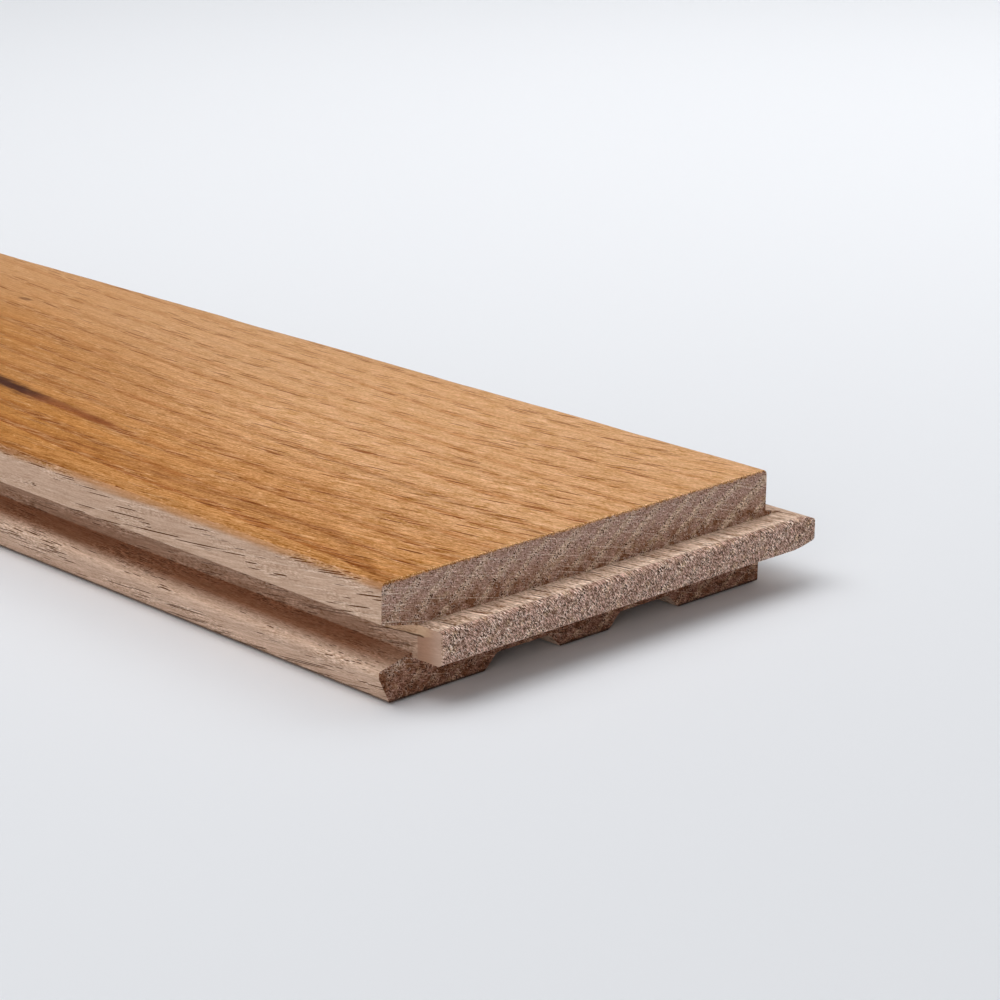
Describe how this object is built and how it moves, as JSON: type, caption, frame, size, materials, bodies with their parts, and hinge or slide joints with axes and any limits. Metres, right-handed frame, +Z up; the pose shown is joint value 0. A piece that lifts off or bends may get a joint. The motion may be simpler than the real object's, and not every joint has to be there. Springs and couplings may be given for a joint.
{
  "type": "hardwood floorboard",
  "caption": "Solid oak strip floorboard with a lacquered face, tongue and groove on its sides and ends, and relief channels along its underside.",
  "frame": {"origin": "centre of the board's whole length and width, on its underside", "axes": "+X along the board towards its end tongue, +Y across it towards its side tongue, +Z up to its face"},
  "size_m": [0.9196, 0.0888, 0.0191],
  "materials": {
    "oak": "satin lacquered face, bare sides"
  },
  "bodies": {
    "root": {"floorboard": "oak"}
  },
  "joints": []
}
